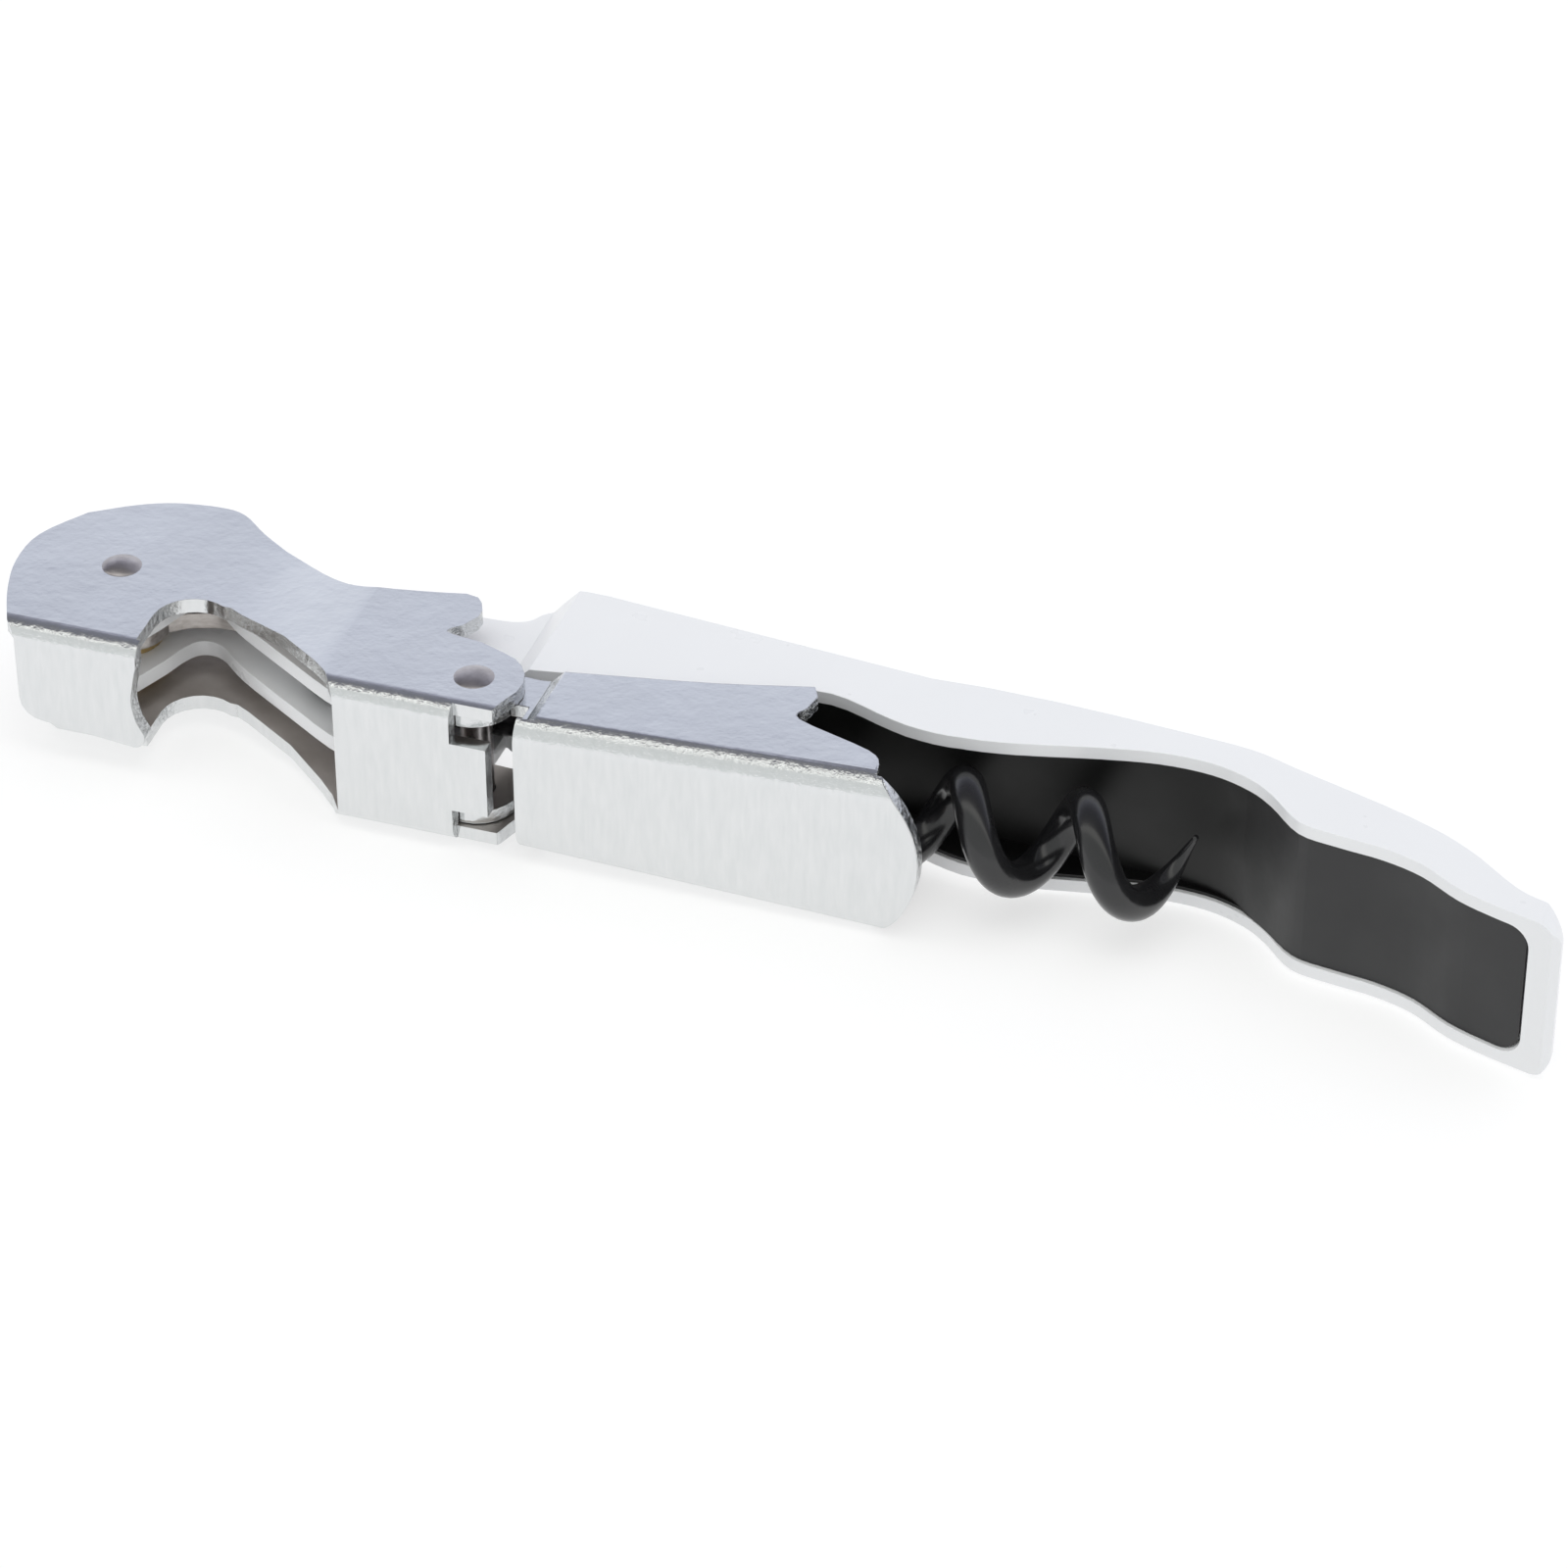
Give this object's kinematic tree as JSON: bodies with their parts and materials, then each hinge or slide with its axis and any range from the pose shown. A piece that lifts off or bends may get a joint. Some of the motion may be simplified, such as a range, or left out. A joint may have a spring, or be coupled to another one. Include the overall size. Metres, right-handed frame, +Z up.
{
  "type": "lever corkscrew",
  "caption": "Folded two-step lever corkscrew lying on its side: painted sheet handle, hinged chrome lever, black worm and folding foil knife.",
  "frame": {"origin": "centre of the closed corkscrew's bounding box in plan, on the surface that it lies on", "axes": "+X from the head to the tail of the handle, +Y to the handle's back, away from the lever, +Z up, through the handle's thickness"},
  "size_m": [0.1209, 0.0224, 0.0137],
  "materials": {
    "white_paint": "smooth satin white paint on sheet steel",
    "black_liner": "satin black moulded plastic",
    "chrome_lever": "bright nickel-chrome plate with faint orange peel",
    "rivet_steel": "satin steel rivets",
    "black_worm": "gloss black non-stick coating on steel wire",
    "blade_steel": "stamped and ground stainless blade",
    "washer_brass": "plain brass washers"
  },
  "bodies": {
    "handle": {"handle_shell": "white_paint", "handle_liner": "black_liner", "head_rivet": "rivet_steel", "worm_pin": "rivet_steel", "upper_lever_washer": "washer_brass", "lower_lever_washer": "washer_brass", "upper_knife_washer": "washer_brass", "lower_knife_washer": "washer_brass"},
    "lever": {"first_lever": "chrome_lever", "hinge_rivet": "rivet_steel"},
    "lever_end": {"second_lever": "chrome_lever"},
    "worm": {"worm": "black_worm"},
    "knife": {"knife_blade": "blade_steel"}
  },
  "joints": [
    {"name": "lever_pivot", "type": "hinge", "parent": "handle", "child": "lever", "pos_m": [-0.0525, 0.0015, 0.00685], "axis": [0, 0, 1], "range_deg": [-150, 0]},
    {"name": "lever_hinge", "type": "hinge", "parent": "lever", "child": "lever_end", "pos_m": [-0.0214, -0.00545, 0.00685], "axis": [0, 0, 1], "range_deg": [-80, 0]},
    {"name": "worm_pivot", "type": "hinge", "parent": "handle", "child": "worm", "pos_m": [-0.0338, 0.001, 0.00685], "axis": [0, 0, 1], "range_deg": [-85, 0]},
    {"name": "knife_pivot", "type": "hinge", "parent": "handle", "child": "knife", "pos_m": [-0.0525, 0.0015, 0.00685], "axis": [0, 0, 1], "range_deg": [0, 155]}
  ],
  "couplings": [
    {"joint": "worm_pivot", "follows": "lever_pivot", "ratio": 0.55}
  ]
}
